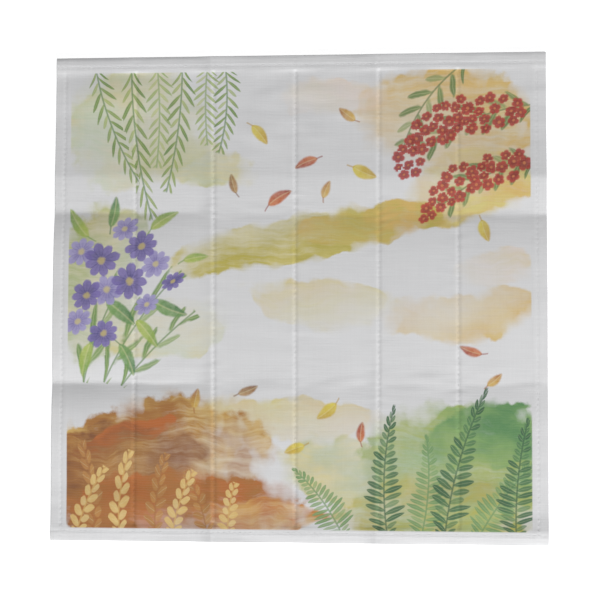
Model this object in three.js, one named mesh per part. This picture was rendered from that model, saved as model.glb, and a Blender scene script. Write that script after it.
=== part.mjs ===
// A square quilted gauze face cloth, opened out and lying flat after being folded in thirds both ways.
// Millimetres, +Z up. The origin is the middle of the underside, and +Y points at the cloth's top edge.
import * as THREE from "three";
import { mergeGeometries, mergeVertices } from "three/addons/utils/BufferGeometryUtils.js";

const clothWidth = 340;
const clothDepth = 335.7;
const panelThickness = 1.95;
const seamThickness = 1.65;
const hemThickness = 2.2;

// The turned hem: its width, the line it is sewn along, and the round nose of its outer fold.
const hemWidth = 10;
const hemStep = 2;
const hemSeamInset = 7;
const hemSeamDepth = 0.1;
const noseInset = 0.5;
const noseEnd = 1.5;

// Rows of running stitch that hold the layers together, and the half width of the dip each one pulls.
const quiltRows = [-112.4, -57.6, -1.4, 55.9, 109.8];
const dipHalfWidth = 2.6;

// Fold lines that run across the cloth, in valleys: the fold's place and how far it leans over a metre.
// The cloth swells up on both sides: the swell's crest and reach from the fold, how steeply it starts,
// how round its far side is, and its height in each of six parts from left to right.
const valleyFolds = [
  {
    at: 57.3,
    lean: -10.2,
    towardsTop: { crest: 26, reach: 82, steep: 1.15, round: 0.1, height: [1.5, 1.1, 0.7, 0.8, 1.4, 2.0] },
    away: { crest: 56, reach: 114, steep: 3.6, round: 1, height: [2.9, 1.6, 0.8, 0.9, 1.4, 1.9] },
  },
  {
    at: -60.2,
    lean: -3.6,
    towardsTop: { crest: 32, reach: 80, steep: 2.2, round: 1, height: [2.1, 1.1, 0.5, 0.4, 0.6, 0.8] },
    away: { crest: 26, reach: 88, steep: 2.4, round: 1, height: [2.1, 1.2, 0.5, 0.4, 0.5, 0.7] },
  },
];

// Fold lines that run from the bottom edge to the top one, beside the second and fourth rows of stitch.
// They are low ridges, short on their left and long on their right, with heights from bottom to top.
const ridgeFolds = [
  { at: quiltRows[1] - dipHalfWidth, lean: -7.6, height: [1.1, 1.0, 0.8, 0.9, 0.7, 0.9] },
  { at: quiltRows[3] - dipHalfWidth, lean: 0.4, height: [0.9, 0.7, 0.25, 0.2, 0.3, 0.5] },
];
const ridgeReachLeft = 12;
const ridgeReachRight = 42;

// Slack places, each a long low swell: its middle, half length and half width, its turn and its height.
const slackPlaces = [
  { x: -130, y: 140, halfLength: 52, halfWidth: 24, turn: -3, height: 0.9 },
  { x: -118, y: -18, halfLength: 34, halfWidth: 8, turn: 24, height: 0.9 },
  { x: -86, y: 22, halfLength: 30, halfWidth: 10, turn: -12, height: 0.6 },
  { x: 136, y: 96, halfLength: 30, halfWidth: 11, turn: 74, height: 0.8 },
  { x: 114, y: -142, halfLength: 58, halfWidth: 25, turn: 3, height: 1.1 },
  { x: -28, y: 112, halfLength: 34, halfWidth: 12, turn: -20, height: 0.6 },
  { x: -118, y: -143, halfLength: 56, halfWidth: 24, turn: -3, height: 1.3 },
];

// The widest gap between two neighbouring lines of points.
const pointPitch = 14;

const halfWidth = clothWidth / 2;
const halfDepth = clothDepth / 2;
const metre = 1000;

function smooth(share) {
  const t = THREE.MathUtils.clamp(share, 0, 1);
  return t * t * (3 - 2 * t);
}

// A list of heights given for equal parts of a length, read at a share of that length.
function heightAlong(heights, share) {
  const place = THREE.MathUtils.clamp(share * heights.length - 0.5, 0, heights.length - 1);
  const part = Math.min(Math.floor(place), heights.length - 2);
  return THREE.MathUtils.lerp(heights[part], heights[part + 1], smooth(place - part));
}

// A swell rises from its fold to its crest and runs out at its reach.
function swellLift(swell, distance, share) {
  const near = THREE.MathUtils.clamp(distance / swell.crest, 0, 1);
  const past = THREE.MathUtils.clamp((distance - swell.crest) / (swell.reach - swell.crest), 0, 1);
  const rising = 1 - (1 - near) ** swell.steep;
  const falling = (1 - past) ** 2 * (1 + 2 * swell.round * past);
  return heightAlong(swell.height, share) * rising * falling;
}

function valleyLift(fold, y, share) {
  return swellLift(fold.towardsTop, y - fold.at, share) + swellLift(fold.away, fold.at - y, share);
}

function ridgeLift(fold, across, share) {
  const reach = across < fold.at ? ridgeReachLeft : ridgeReachRight;
  const nearness = THREE.MathUtils.clamp(1 - Math.abs(across - fold.at) / reach, 0, 1);
  return heightAlong(fold.height, share) * nearness ** 2;
}

function slackLift(place, x, y) {
  const turn = THREE.MathUtils.degToRad(place.turn);
  const along = (x - place.x) * Math.cos(turn) + (y - place.y) * Math.sin(turn);
  const aside = (y - place.y) * Math.cos(turn) - (x - place.x) * Math.sin(turn);
  const far = Math.hypot(along / place.halfLength, aside / place.halfWidth);
  return place.height * smooth(1 - far);
}

// How high the underside stands above what the cloth lies on.
function lift(x, y) {
  const shareX = x / clothWidth + 0.5;
  const shareY = y / clothDepth + 0.5;
  const lifts = [
    ...valleyFolds.map((fold) => valleyLift(fold, y, shareX)),
    ...ridgeFolds.map((fold) => ridgeLift(fold, x, shareY)),
    ...slackPlaces.map((place) => slackLift(place, x, y)),
  ];
  return Math.hypot(...lifts);
}

function edgeInset(x, y) {
  return Math.min(halfWidth - Math.abs(x), halfDepth - Math.abs(y));
}

function bodyThickness(x) {
  const nearestRow = Math.min(...quiltRows.map((row) => Math.abs(x - row)));
  return THREE.MathUtils.lerp(seamThickness, panelThickness, smooth(nearestRow / dipHalfWidth));
}

function thickness(x, y) {
  const inset = edgeInset(x, y);
  const inHem = smooth((hemWidth + hemStep - inset) / hemStep);
  const seamDip = hemSeamDepth * smooth(1 - Math.abs(inset - hemSeamInset) / hemStep);
  return THREE.MathUtils.lerp(bodyThickness(x), hemThickness - seamDip, inHem);
}

// The outer fold of the hem is a nose: both faces run to its middle at the very edge.
function noseShare(x, y) {
  const inset = Math.min(edgeInset(x, y), noseEnd) / noseEnd;
  return Math.sqrt(1 - (1 - inset) ** 2);
}

function underside(x, y) {
  return lift(x, y) + (thickness(x, y) / 2) * (1 - noseShare(x, y));
}

function upperSide(x, y) {
  return lift(x, y) + (thickness(x, y) / 2) * (1 + noseShare(x, y));
}

// Lines of points across a half size on each side, through the given places, no gap over pointPitch.
function pointLines(half, places) {
  const hemInsets = [0, noseInset, noseEnd, hemSeamInset, hemWidth, hemWidth + hemStep];
  const hemPlaces = hemInsets.flatMap((inset) => [inset - half, half - inset]);
  const fixed = [...new Set([...places, ...hemPlaces])].sort((a, b) => a - b);
  return fixed.flatMap((start, i) => {
    if (i === fixed.length - 1) return [start];
    const gap = fixed[i + 1] - start;
    const steps = Math.ceil(gap / pointPitch);
    return Array.from({ length: steps }, (_, step) => start + (gap * step) / steps);
  });
}

function swellPlaces(swell) {
  return [swell.crest / 4, swell.crest / 2, swell.crest, swell.reach];
}

// How far a line of points leans with the folds next to it: not at all at the edges.
function leanAt(folds, place, half) {
  const knots = [{ at: half, lean: 0 }, ...folds, { at: -half, lean: 0 }].sort((a, b) => a.at - b.at);
  const next = Math.max(1, knots.findIndex((knot) => knot.at >= place));
  const [low, high] = [knots[next - 1], knots[next]];
  return THREE.MathUtils.mapLinear(place, low.at, high.at, low.lean, high.lean) / metre;
}

const rowLines = quiltRows.flatMap((row) => [row - dipHalfWidth, row, row + dipHalfWidth]);
const ridgeLines = ridgeFolds.flatMap((fold) => [
  fold.at,
  fold.at - ridgeReachLeft / 2,
  fold.at - ridgeReachLeft,
  fold.at + ridgeReachRight,
]);
const valleyLines = valleyFolds.flatMap((fold) => [
  fold.at,
  ...swellPlaces(fold.towardsTop).map((place) => fold.at + place),
  ...swellPlaces(fold.away).map((place) => fold.at - place),
]);
const xLines = pointLines(halfWidth, [...rowLines, ...ridgeLines]);
const yLines = pointLines(halfDepth, valleyLines).reverse();

// One face of the cloth, on the lines of points, with its height worked out at each of them.
function clothFace(heightAt) {
  const face = new THREE.PlaneGeometry(clothWidth, clothDepth, xLines.length - 1, yLines.length - 1);
  const points = face.attributes.position;
  for (let i = 0; i < points.count; i++) {
    const x = xLines[i % xLines.length];
    const y = yLines[Math.floor(i / xLines.length)];
    const leanX = leanAt(ridgeFolds, x, halfWidth) * y;
    const leanY = leanAt(valleyFolds, y, halfDepth) * x;
    points.setXYZ(i, x + leanX, y + leanY, heightAt(x, y));
  }
  return face;
}

function turnedOver(face) {
  const corners = face.index;
  for (let i = 0; i < corners.count; i += 3) {
    const first = corners.getX(i);
    corners.setX(i, corners.getX(i + 1));
    corners.setX(i + 1, first);
  }
  return face;
}

function makeCloth() {
  const sheet = mergeGeometries([clothFace(upperSide), turnedOver(clothFace(underside))]);
  sheet.deleteAttribute("normal");
  sheet.deleteAttribute("uv");
  const closed = mergeVertices(sheet);
  closed.computeVertexNormals();
  const gauze = new THREE.MeshStandardMaterial({ color: 0xd9d5c6, roughness: 0.95, metalness: 0 });
  const cloth = new THREE.Mesh(closed, gauze);
  cloth.name = "cloth";
  return cloth;
}

const group = new THREE.Group();
group.add(makeCloth());

export default group;
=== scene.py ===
# Face cloth of quilted gauze, lying flat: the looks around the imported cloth
import math

import bpy
import numpy as np
from mathutils import Matrix, Vector, noise


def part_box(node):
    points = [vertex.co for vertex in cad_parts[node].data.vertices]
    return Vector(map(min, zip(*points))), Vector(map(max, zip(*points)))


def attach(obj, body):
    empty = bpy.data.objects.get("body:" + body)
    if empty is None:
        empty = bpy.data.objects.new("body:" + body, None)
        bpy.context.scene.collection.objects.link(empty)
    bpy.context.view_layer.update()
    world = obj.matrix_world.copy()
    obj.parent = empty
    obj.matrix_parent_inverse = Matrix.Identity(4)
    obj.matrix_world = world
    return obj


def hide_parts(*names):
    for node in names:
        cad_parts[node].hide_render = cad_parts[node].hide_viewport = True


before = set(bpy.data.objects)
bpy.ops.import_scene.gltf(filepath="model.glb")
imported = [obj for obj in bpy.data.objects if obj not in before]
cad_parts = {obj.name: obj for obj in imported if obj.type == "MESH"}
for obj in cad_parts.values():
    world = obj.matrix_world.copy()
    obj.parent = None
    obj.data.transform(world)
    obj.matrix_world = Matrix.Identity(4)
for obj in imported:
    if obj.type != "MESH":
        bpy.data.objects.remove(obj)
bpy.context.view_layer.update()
mm = 0.001  # the tables below are in millimetres
print("frame loaded")


# Camera, light and floor

cameraSet = {
    "spot": (0.0855, -0.0683, 1.0427),
    "aim": (0.0016, -0.0021, 0.0),
    "up": (0.0013, 0.998, 0.0632),
    "lens": 91.6,
    "sensor": 36.0,
}
lightSet = {
    "keySpot": (1.0, -2.5, 0.75),
    "keySize": 1.3,
    "keyPower": 143.0,
    "keyColour": (1.0, 1.0, 1.0),
    "skyColour": (0.995, 0.997, 1.0),
    "skyStrength": 0.46,
}
floorSet = {"half": 3.0, "drop": 0.0002, "grey": 0.94, "glow": 0.56}


def makeCamera():
    view = bpy.data.cameras.new("camera")
    view.lens = cameraSet["lens"]
    view.sensor_width = cameraSet["sensor"]
    camera = bpy.data.objects.new("camera", view)
    gaze = (Vector(cameraSet["aim"]) - Vector(cameraSet["spot"])).normalized()
    right = gaze.cross(Vector(cameraSet["up"])).normalized()
    camera.location = cameraSet["spot"]
    camera.rotation_mode = "QUATERNION"
    camera.rotation_quaternion = Matrix((right, right.cross(gaze), -gaze)).transposed().to_quaternion()
    bpy.context.collection.objects.link(camera)
    bpy.context.scene.camera = camera


def makeLights():
    lamp = bpy.data.lights.new("windowLight", "AREA")
    lamp.shape = "DISK"
    lamp.size = lightSet["keySize"]
    lamp.energy = lightSet["keyPower"]
    lamp.color = lightSet["keyColour"]
    window = bpy.data.objects.new("windowLight", lamp)
    window.location = lightSet["keySpot"]
    window.rotation_mode = "QUATERNION"
    window.rotation_quaternion = (-Vector(lightSet["keySpot"])).to_track_quat("-Z", "Y")
    bpy.context.collection.objects.link(window)
    sky = bpy.data.worlds.new("sky")
    sky.use_nodes = True
    backdrop = sky.node_tree.nodes["Background"]
    backdrop.inputs["Color"].default_value = (*lightSet["skyColour"], 1)
    backdrop.inputs["Strength"].default_value = lightSet["skyStrength"]
    bpy.context.scene.world = sky
    bpy.context.scene.view_settings.view_transform = "Standard"


# Shader sums, written as plain Python


class Link:  # one output of a node
    def __init__(self, board, socket):
        self.board = board
        self.socket = socket

    def __add__(self, other):
        return self.board.maths("ADD", self, other)

    def __radd__(self, other):
        return self.board.maths("ADD", other, self)

    def __sub__(self, other):
        return self.board.maths("SUBTRACT", self, other)

    def __rsub__(self, other):
        return self.board.maths("SUBTRACT", other, self)

    def __mul__(self, other):
        return self.board.maths("MULTIPLY", self, other)

    def __rmul__(self, other):
        return self.board.maths("MULTIPLY", other, self)

    def __truediv__(self, other):
        return self.board.maths("DIVIDE", self, other)

    def __pow__(self, other):
        return self.board.maths("POWER", self, other)

    def __gt__(self, other):
        return self.board.maths("GREATER_THAN", self, other)

    def __abs__(self):
        return self.board.maths("ABSOLUTE", self)


class NodeBoard:  # the nodes of a material, or of a tree that is given
    def __init__(self, name, tree=None):
        if tree is None:
            self.material = bpy.data.materials.new(name)
            self.material.use_nodes = True
            tree = self.material.node_tree
            tree.nodes.clear()
        self.tree = tree

    def node(self, kind, settings=None, sockets=None, output=0):
        made = self.tree.nodes.new(kind)
        for name, value in (settings or {}).items():
            setattr(made, name, value)
        for name, value in (sockets or {}).items():
            if isinstance(value, Link):
                self.tree.links.new(value.socket, made.inputs[name])
            else:
                made.inputs[name].default_value = value
        return Link(self, made.outputs[output]) if len(made.outputs) else made

    def maths(self, operation, *values):
        return self.node("ShaderNodeMath", {"operation": operation}, dict(enumerate(values)))

    def vectorMaths(self, operation, *values):
        return self.node("ShaderNodeVectorMath", {"operation": operation}, dict(enumerate(values)))

    def mix(self, factor, first, second):
        kinds = {"data_type": "RGBA", "clamp_factor": True}
        return self.node("ShaderNodeMix", kinds, {0: factor, 6: first, 7: second}, 2)

    def rise(self, value, start, end):  # from 0 at the start to 1 at the end
        sockets = {0: value, 1: start, 2: end}
        return self.node("ShaderNodeMapRange", {"interpolation_type": "SMOOTHSTEP"}, sockets)

    def split(self, vector):
        made = self.node("ShaderNodeSeparateXYZ", None, {0: vector})
        return [Link(self, socket) for socket in made.socket.node.outputs]

    def join(self, x, y, z=0.0):
        return self.node("ShaderNodeCombineXYZ", None, {0: x, 1: y, 2: z})

    def attribute(self, name):
        return self.node("ShaderNodeAttribute", {"attribute_name": name}, None, "Vector")

    def cloudy(self, vector, scale, detail=2.0, roughness=0.5):
        sockets = {"Vector": vector, "Scale": scale, "Detail": detail, "Roughness": roughness}
        return self.node("ShaderNodeTexNoise", None, sockets, "Fac")

    def stretched(self, vector, scales):
        return self.vectorMaths("MULTIPLY", vector, scales)

    def dot(self, vector, other):
        settings = {"operation": "DOT_PRODUCT"}
        return self.node("ShaderNodeVectorMath", settings, {0: vector, 1: other}, "Value")

    def distance(self, x, y):
        settings = {"operation": "LENGTH"}
        return self.node("ShaderNodeVectorMath", settings, {0: self.join(x, y)}, "Value")

    def chance(self, number):
        return self.node("ShaderNodeTexWhiteNoise", {"noise_dimensions": "1D"}, {"W": number}, "Value")


def linear(red, green, blue):
    shares = [channel / 255 for channel in (red, green, blue)]
    return tuple(s / 12.92 if s < 0.04045 else ((s + 0.055) / 1.055) ** 2.4 for s in shares)


def ink(red, green, blue):
    return (*linear(red, green, blue), 1.0)


def makeFloor():
    half, drop = floorSet["half"], floorSet["drop"]
    mesh = bpy.data.meshes.new("floor")
    corners = [(-half, -half, -drop), (half, -half, -drop), (half, half, -drop), (-half, half, -drop)]
    mesh.from_pydata(corners, [], [(0, 1, 2, 3)])
    board = NodeBoard("floorPaper")
    grey, glow = floorSet["grey"], floorSet["glow"]
    paper = {"Base Color": (grey, grey, grey, 1), "Roughness": 0.9}
    paper |= {"Emission Color": (1, 1, 1, 1), "Emission Strength": glow}
    skin = board.node("ShaderNodeBsdfPrincipled", None, paper)
    board.node("ShaderNodeOutputMaterial", None, {"Surface": skin})
    mesh.materials.append(board.material)
    floor = bpy.data.objects.new("floor", mesh)
    bpy.context.collection.objects.link(floor)


makeCamera()
makeLights()
makeFloor()
print("camera, light and floor made")


# The cloth's shape

clothSet = {
    "panelThickness": 1.95,
    "seamThickness": 1.65,
    "hemThickness": 2.2,
    "cornerExtra": 0.08,  # the end hems are turned over the side hems
    "panelCrown": 0.22,
    "crownReach": 26.0,  # from a row of stitches
    "hemWidth": 10.0,
    "hemStep": 2.0,
    "hemSeam": 7.0,  # the sewing line, from the edge
    "hemPleat": 3.9,  # a faint second line, on the end hems
    "sideGroove": 0.1,
    "endGroove": 0.07,
    "pleatGroove": 0.04,
    "grooveReach": 1.6,
    "hemUneven": 0.09,
    "noseEnd": 0.6,
    "dipHalfWidth": 2.4,
    "underDip": 0.25,
    "pucker": 0.17,
    "puckerReach": 7.0,
    "rumple": 0.32,
}
quiltRows = [-112.4, -57.6, -1.4, 55.9, 109.8]

# Folds across the cloth, with a swell on both sides of each: the swell's crest and reach from the fold,
# how steeply it starts, how round its far side is, and its height in six parts from left to right
valleyFolds = [
    {
        "at": 57.3,
        "lean": -10.2,
        "towardsTop": {
            "crest": 26,
            "reach": 82,
            "steep": 1.15,
            "round": 0.1,
            "height": [1.5, 1.1, 0.7, 0.8, 1.4, 2.0],
        },
        "away": {
            "crest": 56,
            "reach": 114,
            "steep": 3.6,
            "round": 1.0,
            "height": [2.9, 1.6, 0.8, 0.9, 1.4, 1.9],
        },
    },
    {
        "at": -60.2,
        "lean": -3.6,
        "towardsTop": {
            "crest": 32,
            "reach": 80,
            "steep": 2.2,
            "round": 1.0,
            "height": [2.1, 1.1, 0.5, 0.4, 0.6, 0.8],
        },
        "away": {
            "crest": 26,
            "reach": 88,
            "steep": 2.4,
            "round": 1.0,
            "height": [2.1, 1.2, 0.5, 0.4, 0.5, 0.7],
        },
    },
]

# The ends of the cloth swell up a little inside their hems
endSwells = {
    "top": {
        "crest": 5,
        "reach": 17,
        "steep": 3.0,
        "round": 1.0,
        "height": [0.8, 0.6, 0.42, 0.38, 0.34, 0.4],
    },
    "bottom": {
        "crest": 8,
        "reach": 24,
        "steep": 2.0,
        "round": 1.0,
        "height": [0.45, 0.45, 0.45, 0.55, 0.75, 0.85],
    },
}

# Folds up the cloth: low ridges, short on the left and long on the right, with their heights in six
# parts from bottom to top
ridgeFolds = [
    {"at": -60.2, "lean": -7.6, "height": [1.1, 1.0, 0.8, 0.9, 0.7, 0.9]},
    {"at": 53.3, "lean": 0.4, "height": [0.9, 0.7, 0.25, 0.2, 0.3, 0.5]},
]
ridgeReach = {"left": 12.0, "right": 42.0}

slackPlaces = [
    {"x": -130, "y": 140, "halfLength": 52, "halfWidth": 24, "turn": -3, "height": 0.9},
    {"x": -118, "y": -18, "halfLength": 34, "halfWidth": 8, "turn": 24, "height": 0.9},
    {"x": -86, "y": 22, "halfLength": 30, "halfWidth": 10, "turn": -12, "height": 0.6},
    {"x": 136, "y": 96, "halfLength": 30, "halfWidth": 11, "turn": 74, "height": 0.8},
    {"x": 114, "y": -142, "halfLength": 58, "halfWidth": 25, "turn": 3, "height": 1.1},
    {"x": -28, "y": 112, "halfLength": 34, "halfWidth": 12, "turn": -20, "height": 0.6},
    {"x": -118, "y": -143, "halfLength": 56, "halfWidth": 24, "turn": -3, "height": 1.3},
]

low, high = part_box("cloth")
halfWidth = (high[0] - low[0]) / 2 / mm
halfDepth = (high[1] - low[1]) / 2 / mm


def smooth(share):
    t = np.clip(share, 0, 1)
    return t * t * (3 - 2 * t)


def heightAlong(heights, share):
    middles = (np.arange(len(heights)) + 0.5) / len(heights)
    return np.interp(share, middles, heights)


def wander(x, y, length, aside, seed):  # slow noise, longer one way than the other
    spots = np.stack([x / length, y / aside, np.full_like(x, seed)], axis=-1).reshape(-1, 3)
    return np.array([noise.noise(Vector(spot)) for spot in spots]).reshape(x.shape)


def swellLift(swell, distance, share):
    near = np.clip(distance / swell["crest"], 0, 1)
    past = np.clip((distance - swell["crest"]) / (swell["reach"] - swell["crest"]), 0, 1)
    rising = 1 - (1 - near) ** swell["steep"]
    falling = (1 - past) ** 2 * (1 + 2 * swell["round"] * past)
    return heightAlong(swell["height"], share) * rising * falling


def valleyLift(fold, x, y):
    share = x / (2 * halfWidth) + 0.5
    above = swellLift(fold["towardsTop"], y - fold["at"], share)
    return above + swellLift(fold["away"], fold["at"] - y, share)


def endLifts(x, y):
    share = x / (2 * halfWidth) + 0.5
    return [
        swellLift(endSwells["top"], halfDepth - y, share),
        swellLift(endSwells["bottom"], halfDepth + y, share),
    ]


def ridgeLift(fold, x, y):
    share = y / (2 * halfDepth) + 0.5
    aside = x - fold["at"]
    reach = np.where(aside < 0, ridgeReach["left"], ridgeReach["right"])
    nearness = np.clip(1 - np.abs(aside) / reach, 0, 1)
    return heightAlong(fold["height"], share) * nearness**2


def slackLift(place, x, y):
    turn = math.radians(place["turn"])
    along = (x - place["x"]) * math.cos(turn) + (y - place["y"]) * math.sin(turn)
    aside = (y - place["y"]) * math.cos(turn) - (x - place["x"]) * math.sin(turn)
    far = np.hypot(along / place["halfLength"], aside / place["halfWidth"])
    return place["height"] * smooth(1 - far)


def insets(x, y):
    return halfWidth - np.abs(x), halfDepth - np.abs(y)


def rowDistance(x):
    return np.min([np.abs(x - row) for row in quiltRows], axis=0)


def liftAt(x, y):
    lifts = [valleyLift(fold, x, y) for fold in valleyFolds]
    lifts += [ridgeLift(fold, x, y) for fold in ridgeFolds]
    lifts += [slackLift(place, x, y) for place in slackPlaces]
    lifts += endLifts(x, y)
    rumple = clothSet["rumple"] * (0.4 + wander(x, y, length=26.0, aside=14.0, seed=3.1))
    rumple += clothSet["rumple"] * 0.5 * wander(x + y * 0.5, y, length=40.0, aside=5.5, seed=7.7)
    lifts.append(np.clip(rumple, 0, None))
    return np.sqrt(np.sum(np.square(lifts), axis=0))


def groove(distance):
    return smooth(1 - np.abs(distance) / clothSet["grooveReach"])


def thicknessAt(x, y):
    size = clothSet
    side, end = insets(x, y)
    fromRow = rowDistance(x)
    body = size["seamThickness"] + (size["panelThickness"] - size["seamThickness"]) * smooth(
        fromRow / size["dipHalfWidth"]
    )
    body += size["panelCrown"] * smooth(fromRow / size["crownReach"])
    puckers = wander(x, y, length=11.0, aside=2.8, seed=11.3)
    body += size["pucker"] * np.exp(-fromRow / size["puckerReach"]) * puckers
    sideHem = smooth((size["hemWidth"] + size["hemStep"] - side) / size["hemStep"])
    endHem = smooth((size["hemWidth"] + size["hemStep"] - end) / size["hemStep"])
    inHem = np.maximum(sideHem, endHem)
    hem = size["hemThickness"] + size["cornerExtra"] * sideHem * endHem
    hem -= size["sideGroove"] * groove(side - size["hemSeam"]) * (1 - endHem)
    hem -= size["endGroove"] * groove(end - size["hemSeam"])
    hem -= size["pleatGroove"] * groove(end - size["hemPleat"])
    small = wander(x, y, length=5.0, aside=5.0, seed=19.9)
    broad = wander(x, y, length=18.0, aside=18.0, seed=23.0)
    hem += size["hemUneven"] * (small * 0.5 + broad)
    return body * (1 - inHem) + hem * inHem


def noseShare(x, y):  # both faces run to the middle of the hem's fold at the very edge
    nearest = np.minimum(*insets(x, y))
    share = np.clip(nearest / clothSet["noseEnd"], 0, 1)
    return np.sqrt(1 - (1 - share) ** 2)


def undersideAt(x, y):
    dip = clothSet["underDip"] * smooth(1 - rowDistance(x) / clothSet["dipHalfWidth"])
    dip = dip * (np.minimum(*insets(x, y)) > clothSet["hemWidth"])
    return liftAt(x, y) + dip + thicknessAt(x, y) / 2 * (1 - noseShare(x, y))


def upperSideAt(x, y):
    return liftAt(x, y) + thicknessAt(x, y) / 2 * (1 + noseShare(x, y))


def leanAt(folds, place, half):
    knots = sorted([(half, 0.0), (-half, 0.0)] + [(fold["at"], fold["lean"]) for fold in folds])
    return np.interp(place, [knot[0] for knot in knots], [knot[1] for knot in knots]) * mm


def settled(x, y, z):  # where a point of the flat cloth lies, in metres
    leftRight = x + leanAt(ridgeFolds, x, halfWidth) * y
    upDown = y + leanAt(valleyFolds, y, halfDepth) * x
    return np.stack([leftRight, upDown, z], axis=-1) * mm


# Pitches of the cloth's mesh, and how far on both sides the finer ones reach
meshSet = {
    "plainPitch": 2.15,
    "rowPitch": 0.65,
    "rowReach": 3.0,
    "foldPitch": 1.15,
    "foldReach": 13.0,
    "foldAside": 1.0,  # the finer zone lies a little towards the top
    "hemPitch": 0.85,
    "hemReach": 6.5,
    "hemMiddle": 6.0,  # from the edge
    "edgePitch": 0.12,
    "edgeReach": 0.8,
    "samples": 6001,
}


def gridLines(half, zones):  # finer pitch inside the zones
    places = np.linspace(-half, half, meshSet["samples"])
    density = np.full(places.size, 1 / meshSet["plainPitch"])
    for middle, reach, pitch in zones:
        density = np.where(np.abs(places - middle) < reach, np.maximum(density, 1 / pitch), density)
    steps = (density[1:] + density[:-1]) / 2 * np.diff(places)
    count = np.concatenate([[0], np.cumsum(steps)])
    return np.interp(np.linspace(0, count[-1], int(count[-1]) + 1), count, places)


def hemZones(half):
    size = meshSet
    hems = [(side * (half - size["hemMiddle"]), size["hemReach"], size["hemPitch"]) for side in (-1, 1)]
    return hems + [(side * half, size["edgeReach"], size["edgePitch"]) for side in (-1, 1)]


# Half lengths of the lines of sewing: the quilt rows, and the hems at the sides and at the ends
sideSeamShort, endSeamLong = 3.0, 4.0  # measured from where the hems' seams cross
quiltReach = halfDepth - clothSet["hemWidth"] - clothSet["hemStep"]
hemReach = halfDepth - clothSet["hemSeam"] - sideSeamShort
endReach = halfWidth - clothSet["hemSeam"] + endSeamLong

xZones = [(row, meshSet["rowReach"], meshSet["rowPitch"]) for row in quiltRows]
foldPlaces = [fold["at"] + meshSet["foldAside"] for fold in valleyFolds]
yZones = [(place, meshSet["foldReach"], meshSet["foldPitch"]) for place in foldPlaces]
xLines = gridLines(halfWidth, xZones + hemZones(halfWidth))
yLines = gridLines(halfDepth, yZones + hemZones(halfDepth))
print("cloth lines:", len(xLines), "by", len(yLines))


# The print: common plants inside a plain white border

printField = {"left": -158.9, "right": 158.8, "bottom": -158.6, "top": 156.4, "softness": 0.5}

pigments = {
    "sand": (210, 190, 140),
    "ochre": (206, 172, 98),
    "straw": (206, 194, 124),
    "olive": (180, 168, 76),
    "moss": (160, 172, 98),
    "umber": (160, 106, 44),
    "rust": (178, 98, 34),
    "earth": (122, 72, 32),
    "leafGreen": (128, 164, 98),
    "pineGreen": (82, 132, 80),
    "mist": (192, 202, 170),
    "blush": (226, 204, 190),
}

# Washes: middle, half length and half width, turn, strength, fade along and aside, two pigments
washes = [
    ((-112, 118), (54, 44), 12, 0.6, (-0.3, 0.3), ("straw", "mist")),
    ((-74, 96), (42, 20), -10, 0.5, (0.4, -0.3), ("moss", "straw")),
    ((102, 122), (66, 36), -6, 0.8, (0.2, 0.3), ("sand", "ochre")),
    ((120, 78), (46, 26), 16, 0.85, (0.3, -0.4), ("ochre", "straw")),
    ((26, 138), (42, 15), 4, 0.4, (0.5, 0.4), ("sand", "blush")),
    ((-136, 10), (34, 56), -8, 0.6, (-0.5, 0.2), ("straw", "moss")),
    ((-94, -24), (46, 20), 14, 0.42, (-0.4, -0.5), ("mist", "straw")),
    ((-6, 38), (84, 18), 12, 0.95, (0.1, -0.3), ("straw", "olive")),
    ((48, 50), (54, 14), 9, 0.9, (0.4, 0.3), ("olive", "ochre")),
    ((22, -6), (56, 15), -4, 0.45, (-0.3, 0.5), ("sand", "straw")),
    ((118, -12), (52, 20), 8, 0.7, (0.4, -0.3), ("ochre", "sand")),
    ((134, 22), (30, 12), 4, 0.35, (0.6, 0.2), ("blush", "sand")),
    ((-6, -84), (70, 15), -4, 0.6, (-0.2, 0.4), ("straw", "sand")),
    ((34, -120), (50, 22), -12, 0.65, (-0.3, -0.2), ("moss", "straw")),
    ((112, -114), (66, 42), -6, 0.98, (0.2, 0.2), ("leafGreen", "moss")),
    ((128, -94), (44, 22), 10, 0.95, (0.4, 0.3), ("pineGreen", "leafGreen")),
    ((96, -146), (78, 22), 2, 0.85, (0.1, -0.4), ("moss", "olive")),
    ((-100, -110), (78, 40), 9, 1.0, (-0.2, 0.2), ("ochre", "umber")),
    ((-122, -126), (62, 40), 6, 1.0, (-0.4, -0.2), ("umber", "earth")),
    ((-84, -144), (86, 24), 2, 1.0, (-0.1, 0.4), ("rust", "umber")),
    ((-118, -96), (34, 9), 20, 0.95, (0.2, 0.6), ("earth", "rust")),
    ((-30, -150), (48, 13), -2, 0.8, (0.3, 0.2), ("ochre", "rust")),
]

# Sprays are bent stems with leaflets on both sides: leaflets per stem, how far they lean forward,
# their fullness, the reach to their tips, how much the spray narrows, and the tones of leaf and stem
sprayKinds = {
    "willow": {"leaves": 11, "slant": 1.5, "full": 0.24, "reach": 11, "taper": 0.45},
    "fern": {"leaves": 19, "slant": 1.0, "full": 0.4, "reach": 17, "taper": 0.95},
    "ear": {"leaves": 7, "slant": 0.6, "full": 0.42, "reach": 8.5, "taper": 0.6},
    "twig": {"leaves": 6, "slant": 1.0, "full": 0.24, "reach": 15, "taper": 0.3},
    "stalk": {"leaves": 3, "slant": 0.9, "full": 0.2, "reach": 12, "taper": 0.4},
}
sprayTones = {
    "willow": ((158, 176, 74), (82, 124, 62)),
    "willowFar": ((186, 194, 122), (138, 164, 104)),
    "fern": ((76, 124, 76), (40, 86, 56)),
    "fernFar": ((134, 164, 102), (100, 140, 88)),
    "ear": ((226, 204, 140), (206, 168, 96)),
    "earFar": ((190, 140, 72), (164, 110, 54)),
    "twig": ((128, 150, 84), (86, 112, 58)),
    "stalk": ((130, 160, 76), (92, 130, 66)),
}
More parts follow.
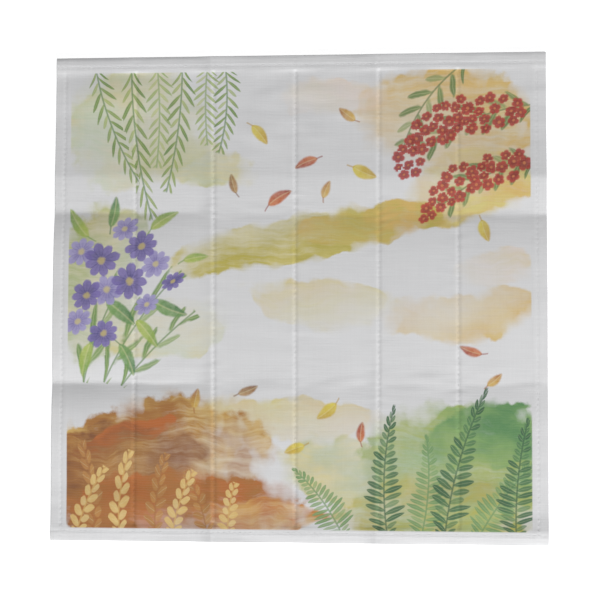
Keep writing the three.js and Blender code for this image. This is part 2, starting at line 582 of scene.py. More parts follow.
backSprays = [
    {"kind": "willow", "tone": "willowFar", "x": -98, "y": 162, "heading": -84, "length": 74, "bend": -12},
    {"kind": "willow", "tone": "willowFar", "x": -62, "y": 162, "heading": -96, "length": 58, "bend": 12},
    {"kind": "fern", "tone": "fernFar", "x": 32, "y": -164, "heading": 114, "length": 60, "bend": 26},
    {"kind": "fern", "tone": "fernFar", "x": 84, "y": -164, "heading": 76, "length": 72, "bend": 22},
    {"kind": "fern", "tone": "fernFar", "x": 122, "y": -164, "heading": 62, "length": 70, "bend": -18},
    {"kind": "ear", "tone": "earFar", "x": -140, "y": -164, "heading": 86, "length": 66, "bend": 24},
    {"kind": "ear", "tone": "earFar", "x": -98, "y": -164, "heading": 92, "length": 58, "bend": -20},
    {"kind": "ear", "tone": "earFar", "x": -62, "y": -164, "heading": 98, "length": 48, "bend": 22},
]
frontSprays = [
    {"kind": "willow", "tone": "willow", "x": -142, "y": 162, "heading": -80, "length": 90, "bend": 22},
    {"kind": "willow", "tone": "willow", "x": -116, "y": 162, "heading": -90, "length": 112, "bend": 16},
    {"kind": "willow", "tone": "willow", "x": -80, "y": 162, "heading": -90, "length": 92, "bend": -14},
    {"kind": "willow", "tone": "willow", "x": -50, "y": 162, "heading": -82, "length": 64, "bend": -24},
    {"kind": "fern", "tone": "fern", "x": 62, "y": -164, "heading": 99, "length": 92, "bend": -24},
    {"kind": "fern", "tone": "fern", "x": 100, "y": -164, "heading": 84, "length": 108, "bend": -20},
    {"kind": "fern", "tone": "fern", "x": 148, "y": -164, "heading": 92, "length": 84, "bend": -16},
    {"kind": "twig", "tone": "twig", "x": 164, "y": 132, "heading": 184, "length": 88, "bend": 34},
    {"kind": "twig", "tone": "twig", "x": 164, "y": 96, "heading": 192, "length": 76, "bend": 30},
    {"kind": "twig", "tone": "twig", "x": 116, "y": 162, "heading": 214, "length": 76, "bend": 40},
    {"kind": "stalk", "tone": "stalk", "x": -148, "y": -60, "heading": 78, "length": 84, "bend": -20},
    {"kind": "stalk", "tone": "stalk", "x": -134, "y": -60, "heading": 66, "length": 96, "bend": -22},
    {"kind": "stalk", "tone": "stalk", "x": -122, "y": -62, "heading": 52, "length": 74, "bend": -14},
    {"kind": "ear", "tone": "ear", "x": -152, "y": -164, "heading": 78, "length": 52, "bend": -22},
    {"kind": "ear", "tone": "ear", "x": -122, "y": -164, "heading": 96, "length": 60, "bend": -26},
    {"kind": "ear", "tone": "ear", "x": -86, "y": -164, "heading": 84, "length": 48, "bend": -24},
    {"kind": "ear", "tone": "ear", "x": -48, "y": -164, "heading": 92, "length": 38, "bend": -20},
]

# Flowers: petals, how deep the notches between them go, and the tones of petal, shade and eye
bloomKinds = {
    "red": {"petals": 5, "notch": 0.3, "tones": ((178, 44, 38), (122, 18, 20), (206, 128, 76))},
    "violet": {"petals": 8, "notch": 0.36, "tones": ((120, 106, 170), (68, 56, 126), (196, 178, 98))},
    "lavender": {"petals": 8, "notch": 0.36, "tones": ((160, 152, 198), (112, 100, 164), (204, 190, 120))},
}
backBlooms = [
    {"kind": "lavender", "x": -150, "y": 30, "radius": 12, "squash": 0.8},
    {"kind": "lavender", "x": -120, "y": 46, "radius": 11, "squash": 0.7},
    {"kind": "lavender", "x": -98, "y": 22, "radius": 12, "squash": 0.75},
    {"kind": "lavender", "x": -132, "y": 4, "radius": 12, "squash": 0.9},
    {"kind": "lavender", "x": -104, "y": -6, "radius": 10, "squash": 0.7},
    {"kind": "lavender", "x": -152, "y": -18, "radius": 11, "squash": 0.8},
]
frontBlooms = [
    {"kind": "violet", "x": -136, "y": 24, "radius": 13.5, "squash": 0.88},
    {"kind": "violet", "x": -108, "y": 34, "radius": 13, "squash": 0.78},
    {"kind": "violet", "x": -116, "y": 10, "radius": 13.5, "squash": 0.95},
    {"kind": "violet", "x": -146, "y": 0, "radius": 12, "squash": 0.85},
    {"kind": "violet", "x": -86, "y": 10, "radius": 9.5, "squash": 0.6},
    {"kind": "violet", "x": -134, "y": -26, "radius": 12, "squash": 0.8},
]
bloomBunches = [  # kind, middle, half length and half width, turn, count, and the flowers' radius
    ("red", (132, 126), (22, 11), 8, 20, 4.8),
    ("red", (98, 120), (24, 12), 34, 22, 4.7),
    ("red", (78, 96), (14, 9), 60, 10, 4.5),
    ("red", (136, 88), (20, 10), 20, 17, 4.7),
    ("red", (108, 78), (18, 10), 38, 14, 4.5),
    ("red", (92, 60), (9, 6), 50, 5, 4.1),
]

leafTones = {
    "yellow": ((214, 196, 70), (182, 144, 40)),
    "ochre": ((204, 168, 78), (158, 96, 40)),
    "rust": ((198, 112, 54), (144, 42, 30)),
    "brown": ((176, 136, 78), (122, 78, 44)),
    "green": ((170, 186, 84), (112, 150, 70)),
    "deepGreen": ((120, 158, 88), (66, 112, 68)),
}
leaves = [
    {"kind": "yellow", "x": -26, "y": 112, "heading": -52, "length": 17, "width": 0.44, "curl": 0.2},
    {"kind": "rust", "x": 6, "y": 92, "heading": 204, "length": 17, "width": 0.38, "curl": -0.3},
    {"kind": "ochre", "x": 34, "y": 126, "heading": 142, "length": 14, "width": 0.46, "curl": 0.1},
    {"kind": "rust", "x": -12, "y": 68, "heading": 32, "length": 19, "width": 0.4, "curl": 0.3},
    {"kind": "yellow", "x": 46, "y": 86, "heading": -24, "length": 18, "width": 0.48, "curl": -0.2},
    {"kind": "brown", "x": -44, "y": 78, "heading": 104, "length": 14, "width": 0.38, "curl": 0.2},
    {"kind": "ochre", "x": 20, "y": 74, "heading": 68, "length": 13, "width": 0.42, "curl": 0.2},
    {"kind": "yellow", "x": 128, "y": 46, "heading": -72, "length": 16, "width": 0.48, "curl": -0.2},
    {"kind": "rust", "x": 118, "y": -36, "heading": 160, "length": 16, "width": 0.38, "curl": 0.3},
    {"kind": "ochre", "x": 134, "y": -56, "heading": 40, "length": 13, "width": 0.42, "curl": -0.2},
    {"kind": "brown", "x": -34, "y": -64, "heading": 22, "length": 15, "width": 0.38, "curl": -0.2},
    {"kind": "yellow", "x": 20, "y": -78, "heading": -142, "length": 17, "width": 0.46, "curl": 0.2},
    {"kind": "rust", "x": 44, "y": -92, "heading": 84, "length": 14, "width": 0.4, "curl": 0.2},
    {"kind": "ochre", "x": -70, "y": -70, "heading": 78, "length": 14, "width": 0.44, "curl": 0.1},
    {"kind": "yellow", "x": -2, "y": -104, "heading": 200, "length": 15, "width": 0.46, "curl": -0.1},
    {"kind": "green", "x": -152, "y": 50, "heading": 124, "length": 24, "width": 0.34, "curl": 0.3},
    {"kind": "deepGreen", "x": -128, "y": 58, "heading": 80, "length": 22, "width": 0.32, "curl": -0.2},
    {"kind": "green", "x": -92, "y": 52, "heading": 32, "length": 23, "width": 0.32, "curl": 0.3},
    {"kind": "deepGreen", "x": -88, "y": -8, "heading": -22, "length": 26, "width": 0.36, "curl": -0.3},
    {"kind": "green", "x": -104, "y": -26, "heading": -52, "length": 24, "width": 0.34, "curl": 0.2},
    {"kind": "deepGreen", "x": -118, "y": -44, "heading": -66, "length": 24, "width": 0.34, "curl": 0.3},
    {"kind": "green", "x": -146, "y": -44, "heading": -104, "length": 24, "width": 0.34, "curl": -0.2},
    {"kind": "deepGreen", "x": -122, "y": -12, "heading": -40, "length": 26, "width": 0.38, "curl": 0.1},
    {"kind": "green", "x": -70, "y": 26, "heading": 10, "length": 18, "width": 0.32, "curl": 0.2},
]
seed = 4117  # fixes every random draw of the print


def spotIn(middle, half, turn, draw):  # a random spot in an ellipse
    far, angle, turned = math.sqrt(draw.random()), draw.uniform(0, 2 * math.pi), math.radians(turn)
    along, aside = far * half[0] * math.cos(angle), far * half[1] * math.sin(angle)
    x = middle[0] + along * math.cos(turned) - aside * math.sin(turned)
    y = middle[1] + along * math.sin(turned) + aside * math.cos(turned)
    return x, y


def bunched(bunch, draw):  # flowers in an ellipse, kept a little apart
    kind, middle, half, turn, count, radius = bunch
    made = []
    for _ in range(count * 30):
        x, y = spotIn(middle, half, turn, draw)
        free = all(math.hypot(x - m["x"], y - m["y"]) > radius * 1.3 for m in made)
        if free and len(made) < count:
            size, squash = radius * draw.uniform(0.85, 1.15), draw.uniform(0.7, 1.0)
            made.append({"kind": kind, "x": x, "y": y, "radius": size, "squash": squash})
    return made


def turnedPlaces(x, y, item, halfLength, halfWidth, heading):
    angle = math.radians(heading)
    forward = ((x - item["x"]) * math.cos(angle) + (y - item["y"]) * math.sin(angle)) / halfLength
    left = ((y - item["y"]) * math.cos(angle) - (x - item["x"]) * math.sin(angle)) / halfWidth
    return forward, left


def sprayPlaces(x, y, spray):  # share of the way along the stem, share of the reach aside, and mm aside
    kind = sprayKinds[spray["kind"]]
    turn = math.radians(spray["bend"])
    radius, facing = spray["length"] / abs(turn), math.copysign(1, turn)
    forward, left = turnedPlaces(x, y, spray, 1, facing, spray["heading"])
    along = np.arctan2(forward, radius - left) * radius / spray["length"]
    aside = facing * (radius - np.hypot(forward, radius - left))
    narrow = 1 - kind["taper"] * np.clip(along, 0, 1) ** 1.5
    narrow = narrow * (0.35 + 0.65 * smooth(along / 0.25))
    return np.stack([along, aside / (kind["reach"] * np.maximum(narrow, 0.02)), aside], axis=-1)


def sprayMiss(x, y, spray):
    along, share, _ = np.moveaxis(sprayPlaces(x, y, spray), -1, 0)
    return np.abs(share) + 40 * np.maximum(np.abs(along - 0.5) - 0.5, 0)


def leafPlaces(x, y, leaf):  # shares of the half length, and the edge's softness
    half = leaf["length"] / 2
    forward, left = turnedPlaces(x, y, leaf, half, half, leaf["heading"])
    return np.stack([forward, left, np.full_like(forward, inkBleed / half)], axis=-1)


def leafMiss(x, y, leaf):
    forward, left, _ = np.moveaxis(leafPlaces(x, y, leaf), -1, 0)
    return np.hypot(forward, left / 0.6)


def bloomPlaces(x, y, bloom):
    radius, tilt, spin = bloom["radius"], 35, 0.37  # the tilt is in degrees, the spin for each millimetre
    forward, left = turnedPlaces(x, y, bloom, radius, radius * bloom["squash"], tilt)
    return np.stack([forward, left, np.full_like(forward, bloom["x"] * spin)], axis=-1)


def bloomMiss(x, y, bloom):
    forward, left, _ = np.moveaxis(bloomPlaces(x, y, bloom), -1, 0)
    return np.hypot(forward, left)


def tones(colours):
    return [linear(*colour) for colour in colours]


def sprayFacts(spray):
    kind = sprayKinds[spray["kind"]]
    return [(kind["leaves"], kind["slant"], kind["full"]), *tones(sprayTones[spray["tone"]])]


def leafFacts(leaf):
    return [(leaf["width"], leaf["curl"], 0.0), *tones(leafTones[leaf["kind"]])]


def bloomFacts(bloom):
    kind = bloomKinds[bloom["kind"]]
    return [(kind["petals"], kind["notch"], inkBleed / bloom["radius"]), *tones(kind["tones"])]


inkBleed = 0.9  # half the width of the soft edge of a motif
families = {
    "spray": (sprayPlaces, sprayMiss, sprayFacts, ("Shape", "Tone", "Tip")),
    "leaf": (leafPlaces, leafMiss, leafFacts, ("Shape", "Tone", "Tip")),
    "bloom": (bloomPlaces, bloomMiss, bloomFacts, ("Shape", "Tone", "Tip", "Eye")),
}


def familyAttributes(name, family, items, cornerX, cornerY):  # each face belongs to its nearest item
    placesOf, missOf, factsOf, labels = families[family]
    middleX, middleY = cornerX.mean(axis=1), cornerY.mean(axis=1)
    chosen = np.argmin([missOf(middleX, middleY, item) for item in items], axis=0)
    places = np.zeros((*cornerX.shape, 3))
    extras = np.zeros((len(labels), *cornerX.shape, 3))
    for index, item in enumerate(items):
        mine = chosen == index
        places[mine] = placesOf(cornerX[mine], cornerY[mine], item)
        for fact, row in zip(factsOf(item), extras):
            row[mine] = fact
    yield name + "Place", places
    for label, row in zip(labels, extras):
        yield name + label, row


def printAttributes(cornerX, cornerY):
    for name, (family, items) in printGroups.items():
        yield from familyAttributes(name, family, items, cornerX, cornerY)


draw = np.random.default_rng(seed)
flowers = frontBlooms + [bloom for bunch in bloomBunches for bloom in bunched(bunch, draw)]
printGroups = {
    "backSpray": ("spray", backSprays),
    "frontSpray": ("spray", frontSprays),
    "leaf": ("leaf", leaves),
    "backBloom": ("bloom", backBlooms),
    "frontBloom": ("bloom", flowers),
}


# The cloth's mesh


def clothMesh():
    x, y = np.meshgrid(xLines, yLines)
    rows, columns = x.shape
    upper = settled(x, y, upperSideAt(x, y)).reshape(-1, 3)
    under = settled(x, y, undersideAt(x, y)).reshape(-1, 3)
    upperIndex = np.arange(rows * columns).reshape(rows, columns)
    underIndex = upperIndex.copy()
    inner = np.zeros_like(upperIndex, bool)
    inner[1:-1, 1:-1] = True
    underIndex[inner] = rows * columns + np.arange(inner.sum())
    points = np.concatenate([upper, under[inner.ravel()]])

    def quads(index):
        corners = [index[:-1, :-1], index[:-1, 1:], index[1:, 1:], index[1:, :-1]]
        return np.stack(corners, axis=-1).reshape(-1, 4)

    faces = np.concatenate([quads(upperIndex), quads(underIndex)[:, ::-1]])
    mesh = bpy.data.meshes.new("faceCloth")
    mesh.from_pydata(points.tolist(), [], faces.tolist())
    mesh.shade_smooth()
    flat = np.stack([x, y, np.ones_like(x)], axis=-1).reshape(-1, 3)
    upperFlat = flat[quads(upperIndex)]
    underFlat = flat[quads(upperIndex)[:, ::-1]] * (1, 1, 0)
    return mesh, upperFlat, underFlat


def addCornerAttribute(mesh, name, *parts):
    values = np.concatenate([part.reshape(-1, 3) for part in parts])
    made = mesh.attributes.new(name, "FLOAT_VECTOR", "CORNER")
    made.data.foreach_set("vector", values.astype(np.float32).ravel())


def seamFacts(flat):  # how far the nearest line of sewing is, and the place along it
    x, y = flat[..., 0], flat[..., 1]
    side, end = insets(x, y)
    distances = [rowDistance(x), np.abs(side - clothSet["hemSeam"]), np.abs(end - clothSet["hemSeam"])]
    places = [y + quiltReach, y + hemReach, x + endReach]
    nearest = np.argmin(distances, axis=0)
    return np.stack([np.min(distances, axis=0), np.choose(nearest, places), np.zeros_like(x)], axis=-1)


offPrint = 50.0  # what the underside gets, outside every motif


def makeCloth():
    mesh, upperFlat, underFlat = clothMesh()
    addCornerAttribute(mesh, "flatPlace", upperFlat, underFlat)
    addCornerAttribute(mesh, "seamPlace", seamFacts(upperFlat), seamFacts(underFlat))
    nothing = np.full_like(underFlat, offPrint)
    for label, values in printAttributes(upperFlat[..., 0], upperFlat[..., 1]):
        addCornerAttribute(mesh, label, values, nothing)
    cloth = bpy.data.objects.new("faceCloth", mesh)
    bpy.context.collection.objects.link(cloth)
    return cloth


cloth = makeCloth()
print("cloth made:", len(cloth.data.polygons), "faces")


# The cloth's finish

gauzeSet = {
    "white": (0.67, 0.67, 0.677, 1),
    "panelShade": 0.035,  # the cloth inside the hem's seam is coloured a little darker than the hem
    "weftPitch": 1.1,
    "warpPitch": 1.2,
    "slub": 0.05,
    "bump": 0.12,
    "bumpHeight": 0.00035,
    "sheen": 0.05,
    "inkStrength": 0.98,
    "inkWear": 0.08,  # less ink on the raised threads
}
stitchSet = {
    "Pitch": 3.65 * mm,
    "Length": 2.2 * mm,
    "Thickness": 0.25 * mm,
    "Unevenness": 0.16 * mm,
}
seamStep = 0.9  # between the points of a line of sewing
threadSink = 0.05
wholeSeam = 10.0  # metres, past the end of any seam
threadWhite = (0.67, 0.67, 0.675, 1)


def paintedWashes(board, flat, colour):
    drift = board.cloudy(flat, 0.022, 3.0, 0.55) - 0.5
    driftAside = board.cloudy(board.vectorMaths("ADD", flat, (310.0, 170.0, 0.0)), 0.02, 3.0, 0.55) - 0.5
    shift = board.join(drift * 46.0, driftAside * 30.0)
    moved = board.vectorMaths("ADD", flat, shift)
    lace = board.cloudy(flat, 0.07, 4.0, 0.6) - 0.5
    grain = board.cloudy(flat, 0.2, 4.0, 0.65)
    pool = board.cloudy(flat, 0.03, 3.0, 0.5)
    wet = board.rise(board.cloudy(flat, 0.045, 2.0, 0.5), 0.42, 0.62)
    streaks = board.cloudy(board.stretched(moved, (0.036, 0.26, 1.0)), 1.0, 3.0, 0.6)
    for middle, half, turn, strength, fade, names in washes:
        angle = math.radians(turn)
        fromMiddle = board.vectorMaths("SUBTRACT", moved, (*middle, 0))
        along = board.dot(fromMiddle, (math.cos(angle) / half[0], math.sin(angle) / half[0], 0))
        aside = board.dot(fromMiddle, (-math.sin(angle) / half[1], math.cos(angle) / half[1], 0))
        far = board.distance(along, aside) + lace * 0.42
        inside = board.rise(far, wet * 0.1 + 1.05, 0.93 - wet * 0.35)
        load = along * fade[0] + aside * fade[1] + 0.9
        load = board.maths("MAXIMUM", load, 0.0) + board.rise(far, 0.8, 0.96) * (1.0 - wet) * 0.14
        amount = inside * load * (streaks * 0.9 + grain * 0.35 + 0.35) * strength
        hue = board.rise(pool + streaks * 0.5, 0.5, 0.95)
        tone = board.mix(hue, ink(*pigments[names[0]]), ink(*pigments[names[1]]))
        colour = board.mix(amount, colour, tone)
    return colour


def paintedSprays(board, flat, colour, name):
    along, aside, asideMm = board.split(board.attribute(name + "Place"))
    count, slant, full = board.split(board.attribute(name + "Shape"))
    wobble = board.cloudy(flat, 0.14, 2.0, 0.5) - 0.5
    side = abs(aside) + wobble * 0.24
    leftSide = aside > 0.0
    step = along * count - side * slant + leftSide * 0.5 + wobble * 0.5
    number = board.maths("FLOOR", step)
    draw = board.chance(number + leftSide * 0.5)
    phase = abs(step - number - 0.5)
    spread = side / (draw * 0.34 + 0.66)
    lens = board.maths("MAXIMUM", spread * (1.0 - spread) * 4.0, 0.0) ** 0.7
    onStem = board.rise(along, 0.0, 0.01) * board.rise(along, 1.0, 0.98)
    leaf = board.rise(full * lens - phase, -0.08, 0.09) * (lens > 0.01) * onStem
    hue = draw * 0.65 + spread * 0.25 + wobble * 0.6
    tone = board.mix(hue, board.attribute(name + "Tone"), board.attribute(name + "Tip"))
    vein = board.rise(phase, 0.07, 0.0) * 0.22
    tone = board.mix(vein, tone, ink(220, 220, 170))
    colour = board.mix(leaf * (draw * 0.3 + 0.66), colour, tone)
    stem = board.rise(abs(asideMm), 0.95, 0.2) * onStem
    return board.mix(stem * 0.7, colour, board.attribute(name + "Tip"))


def paintedLeaves(board, flat, colour):
    along, aside, soft = board.split(board.attribute("leafPlace"))
    width, curl, _ = board.split(board.attribute("leafShape"))
    bent = aside - curl * (1.0 - along * along) * 0.35
    room = board.maths("MAXIMUM", 1.0 - along * along, 0.0) ** 0.75
    edge = width * room * (1.0 - along * 0.28)
    mottle = board.cloudy(flat, 0.3, 3.0, 0.6)
    leaf = board.rise(edge - abs(bent) + (mottle - 0.5) * 0.08, soft * -1.0, soft) * (room > 0.001)
    half = board.rise(bent, -0.08, 0.08)
    hue = along * 0.4 + half * 0.3 + mottle * 0.7 - 0.1
    tone = board.mix(hue, board.attribute("leafTone"), board.attribute("leafTip"))
    vein = board.rise(abs(bent), 0.08, 0.0) * 0.3
    tone = board.mix(vein, tone, ink(226, 218, 168))
    colour = board.mix(leaf * (mottle * 0.4 + 0.7), colour, tone)
    onStalk = board.rise(along, -1.5, -1.42) * board.rise(along, -0.8, -0.95)
    stalk = board.rise(abs(bent - (along + 0.95) * 0.25), soft, 0.02) * onStalk
    return board.mix(stalk * 0.6, colour, board.attribute("leafTip"))


def paintedBlooms(board, flat, colour, name):
    across, up, turn = board.split(board.attribute(name + "Place"))
    petals, notch, soft = board.split(board.attribute(name + "Shape"))
    far = board.distance(across, up)
    angle = board.maths("ARCTAN2", up, across) + turn
    mottle = board.cloudy(flat, 0.36, 3.0, 0.6)
    sector = angle * petals * (0.5 / math.pi)
    number = board.maths("FLOOR", sector)
    draw = board.chance(number + board.maths("FLOOR", turn) * 9.0)
    lobes = board.maths("SINE", (sector - number) * math.pi)
    edge = (1.0 - notch + notch * lobes**0.55) * (draw * 0.16 + 0.86)
    share = far / edge
    bloom = board.rise(share + (mottle - 0.5) * 0.2, soft + 1.0, 1.0 - soft)
    between = board.rise(lobes, 0.5, 0.0) * board.rise(share, 0.1, 0.5)
    crease = board.rise(abs(sector - number - 0.5), 0.1, 0.0) * board.rise(share, 0.95, 0.3)
    depth = board.rise(share, 1.0, 0.25) * 0.5 + between * 0.5 + crease * 0.3 + (mottle - 0.5) * 0.9
    depth = depth + (draw - 0.5) * 0.4
    tone = board.mix(depth, board.attribute(name + "Tone"), board.attribute(name + "Tip"))
    colour = board.mix(bloom * 0.92, colour, tone)
    middle = board.rise(far + (mottle - 0.5) * 0.2, 0.28, 0.12)
    return board.mix(middle * 0.7, colour, board.attribute(name + "Eye"))


def printedOver(board, flat, white, cover):  # the whole print over a plain white
    x, y, upper = board.split(flat)
    painted = paintedWashes(board, flat, white)
    painted = paintedSprays(board, flat, painted, "backSpray")
    painted = paintedSprays(board, flat, painted, "frontSpray")
    painted = paintedLeaves(board, flat, painted)
    painted = paintedBlooms(board, flat, painted, "backBloom")
    painted = paintedBlooms(board, flat, painted, "frontBloom")
    soft = printField["softness"]
    inField = board.rise(x, printField["left"] - soft, printField["left"] + soft)
    inField = inField * board.rise(x, printField["right"] + soft, printField["right"] - soft)
    inField = inField * board.rise(y, printField["bottom"] - soft, printField["bottom"] + soft)
    inField = inField * board.rise(y, printField["top"] + soft, printField["top"] - soft)
    return board.mix(inField * upper * cover, white, painted)


def makeGauze():
    board = NodeBoard("printedGauze")
    flat = board.attribute("flatPlace")
    x, y, _ = board.split(flat)
    distance, alongSeam, _ = board.split(board.attribute("seamPlace"))

    wobble = board.cloudy(board.stretched(flat, (0.05, 0.05, 1.0)), 1.0, 2.0) * 3.0
    weft = board.maths("SINE", (y + wobble) * (2 * math.pi / gauzeSet["weftPitch"])) * 0.5 + 0.5
    warp = board.maths("SINE", (x + wobble) * (2 * math.pi / gauzeSet["warpPitch"])) * 0.5 + 0.5
    slubs = board.cloudy(board.stretched(flat, (0.035, 0.8, 1.0)), 1.0, 3.0, 0.6)
    ends = board.cloudy(board.stretched(flat, (0.7, 0.03, 1.0)), 1.0, 2.0, 0.5)
    fuzz = board.cloudy(flat, 2.2, 2.0, 0.6)

    inset = board.maths("MINIMUM", halfWidth - abs(x), halfDepth - abs(y))
    inPanel = board.rise(inset, clothSet["hemSeam"] - 0.5, clothSet["hemSeam"] + 1.0)
    shade = (slubs - 0.5) * gauzeSet["slub"] * 2.0 + (ends - 0.5) * gauzeSet["slub"] + 1.0
    shade = shade + (weft - 0.5) * 0.01 + (warp - 0.5) * 0.008 + (fuzz - 0.5) * 0.03
    shade = shade - inPanel * gauzeSet["panelShade"]
    cover = gauzeSet["inkStrength"] - (weft * 0.5 + fuzz * 0.5) * gauzeSet["inkWear"]
    colour = printedOver(board, flat, gauzeSet["white"], cover)
    colour = board.vectorMaths("MULTIPLY", colour, board.join(shade, shade, shade))

    pull = board.maths("COSINE", alongSeam * (2 * math.pi * mm / stitchSet["Pitch"])) * 0.5 + 0.5
    dimple = board.rise(distance, 1.5, 0.3) * (1.0 - pull)
    height = weft * 0.25 + warp * 0.2 + slubs * 1.0 + ends * 0.5 + fuzz * 0.4 - dimple
    relief = {"Height": height, "Strength": gauzeSet["bump"], "Distance": gauzeSet["bumpHeight"]}
    bump = board.node("ShaderNodeBump", None, relief)
    finish = {
        "Base Color": colour,
        "Roughness": 0.95,
        "Specular IOR Level": 0.12,
        "Sheen Weight": gauzeSet["sheen"],
        "Normal": bump,
    }
    skin = board.node("ShaderNodeBsdfPrincipled", None, finish)
    board.node("ShaderNodeOutputMaterial", None, {"Surface": skin})
    return board.material


def makeThread(printed):
    board = NodeBoard("printedThread" if printed else "sewingThread")
    place = board.node("ShaderNodeTexCoord", None, None, "Object")
    fibres = board.cloudy(place, 2600.0, 2.0, 0.6)
    shade = fibres * 0.14 + 0.93
    colour = threadWhite[:3]
    if printed:
        cover = gauzeSet["inkStrength"] - gauzeSet["inkWear"]
        colour = printedOver(board, board.attribute("flatPlace"), threadWhite, cover)
    colour = board.vectorMaths("MULTIPLY", colour, board.join(shade, shade, shade))
    bump = board.node("ShaderNodeBump", None, {"Height": fibres, "Strength": 0.5, "Distance": 0.00012})
    finish = {"Base Color": colour, "Roughness": 0.7, "Sheen Weight": 0.1, "Normal": bump}
    skin = board.node("ShaderNodeBsdfPrincipled", None, finish)
    board.node("ShaderNodeOutputMaterial", None, {"Surface": skin})
    return board.material


# The sewing: running stitches in five rows, and round the hem


def seamLine(start, end, heightAt, offset):
    steps = int(math.dist(start, end) / seamStep)
    x = np.linspace(start[0], end[0], steps)
    y = np.linspace(start[1], end[1], steps)
    return settled(x, y, heightAt(x, y) + offset).tolist()


def stitchTree():
    tree = bpy.data.node_groups.new("runningStitch", "GeometryNodeTree")
    face = tree.interface
    face.new_socket("Seams", in_out="INPUT", socket_type="NodeSocketGeometry")
    for name in stitchSet:
        face.new_socket(name, in_out="INPUT", socket_type="NodeSocketFloat")
    face.new_socket("Start", in_out="INPUT", socket_type="NodeSocketFloat")
    face.new_socket("Seed", in_out="INPUT", socket_type="NodeSocketInt")
    face.new_socket("Thread", in_out="INPUT", socket_type="NodeSocketMaterial")
    face.new_socket("Stitches", in_out="OUTPUT", socket_type="NodeSocketGeometry")
    board = NodeBoard(None, tree)
    given = tree.nodes.new("NodeGroupInput").outputs
    pick = {socket.name: Link(board, socket) for socket in given if socket.name}
    line = board.node("GeometryNodeMeshToCurve", None, {"Mesh": pick["Seams"]})
    ends = {"Curve": line, 4: pick["Start"], 5: wholeSeam}
    trimmed = board.node("GeometryNodeTrimCurve", {"mode": "LENGTH"}, ends)
    spacing = {"Curve": trimmed, "Length": pick["Pitch"]}
    spots = board.node("GeometryNodeCurveToPoints", {"mode": "LENGTH"}, spacing)
    tangent = Link(board, spots.socket.node.outputs["Tangent"])
    facing = board.node("FunctionNodeAlignRotationToVector", {"axis": "X"}, {"Vector": tangent})
    reach = pick["Unevenness"]
    furthest = board.join(reach, reach, reach * 0.3)
    opposite = board.vectorMaths("MULTIPLY", furthest, (-1.0, -1.0, -1.0))
    draw = {"Min": opposite, "Max": furthest, "Seed": pick["Seed"]}
    jitter = board.node("FunctionNodeRandomValue", {"data_type": "FLOAT_VECTOR"}, draw)
    spots = board.node("GeometryNodeSetPosition", None, {"Geometry": spots, "Offset": jitter})
    bead = board.node("GeometryNodeMeshUVSphere", None, {"Segments": 8, "Rings": 6, "Radius": 0.5})
    size = board.join(pick["Length"], pick["Thickness"], pick["Thickness"])
    stitch = board.node("GeometryNodeTransform", None, {"Geometry": bead, "Scale": size})
    placing = {"Points": spots, "Instance": stitch, "Rotation": facing}
    placed = board.node("GeometryNodeInstanceOnPoints", None, placing)
    real = board.node("GeometryNodeRealizeInstances", None, {"Geometry": placed})
    smoothed = board.node("GeometryNodeSetShadeSmooth", None, {"Geometry": real})
    look = {"Geometry": smoothed, "Material": pick["Thread"]}
    finished = board.node("GeometryNodeSetMaterial", None, look)
    board.node("NodeGroupOutput", None, {"Stitches": finished})
    return tree


def addPrintPlaces(mesh):  # the print runs on over the stitches
    spots = np.empty(len(mesh.vertices) * 3, np.float32)
    mesh.vertices.foreach_get("co", spots)
    corners = np.empty(len(mesh.loops), np.int32)
    mesh.loops.foreach_get("vertex_index", corners)
    leftRight, upDown, _ = spots.reshape(-1, 3)[corners].T[:, :, None] / mm
    x = leftRight - leanAt(ridgeFolds, leftRight, halfWidth) * upDown
    y = upDown - leanAt(valleyFolds, upDown, halfDepth) * leftRight
    addCornerAttribute(mesh, "flatPlace", np.stack([x, y, np.ones_like(x)], axis=-1))
    for label, values in printAttributes(x, y):
        addCornerAttribute(mesh, label, values)


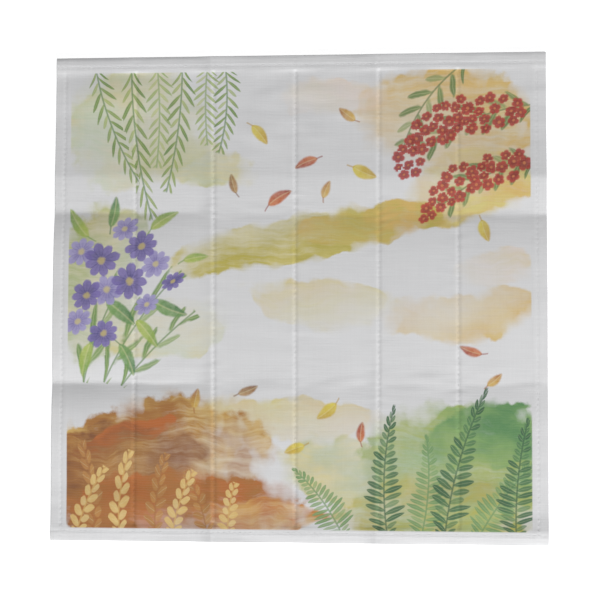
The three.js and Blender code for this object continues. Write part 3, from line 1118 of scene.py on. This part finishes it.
def sewn(name, lines, thread, start, drawSeed):
    points, edges = [], []
    for line in lines:
        edges += [(len(points) + i, len(points) + i + 1) for i in range(len(line) - 1)]
        points += line
    mesh = bpy.data.meshes.new(name)
    mesh.from_pydata(points, edges, [])
    piece = bpy.data.objects.new(name, mesh)
    bpy.context.collection.objects.link(piece)
    sewing = piece.modifiers.new("sewing", "NODES")
    sewing.node_group = tree
    values = {**stitchSet, "Start": start, "Seed": drawSeed, "Thread": thread}
    for socket in tree.interface.items_tree:
        if socket.name in values:
            sewing[socket.identifier] = values[socket.name]
    piece.update_tag()
    sight = bpy.context.evaluated_depsgraph_get()
    made = bpy.data.meshes.new_from_object(piece.evaluated_get(sight))
    piece.modifiers.remove(sewing)
    piece.data = made
    made.name = name
    print(name, "made:", len(made.polygons), "faces")
    return piece


def quiltLines(heightAt, offset):
    return [seamLine((row, -quiltReach), (row, quiltReach), heightAt, offset) for row in quiltRows]


def hemLines(heightAt, offset):
    right, top = halfWidth - clothSet["hemSeam"], halfDepth - clothSet["hemSeam"]
    sides = [((side * right, -hemReach), (side * right, hemReach)) for side in (-1, 1)]
    ends = [((-endReach, end * top), (endReach, end * top)) for end in (-1, 1)]
    return [seamLine(start, finish, heightAt, offset) for start, finish in sides + ends]


cloth.data.materials.append(makeGauze())
plainThread, printedThread = makeThread(False), makeThread(True)
tree = stitchTree()
halfStep = stitchSet["Pitch"] / 2
upperRows = quiltLines(upperSideAt, -threadSink)
underRows = quiltLines(undersideAt, threadSink)
hemRows = hemLines(upperSideAt, -threadSink)
quiltStitches = sewn("quiltStitches", upperRows, printedThread, start=0.0, drawSeed=3)
quiltStitchesUnder = sewn("quiltStitchesUnder", underRows, plainThread, start=halfStep, drawSeed=5)
hemStitches = sewn("hemStitches", hemRows, plainThread, start=0.0, drawSeed=8)
addPrintPlaces(quiltStitches.data)
sewing = [quiltStitches, quiltStitchesUnder, hemStitches]


# What stands for what

for piece in [cloth, *sewing]:
    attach(piece, "root")
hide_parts("cloth")
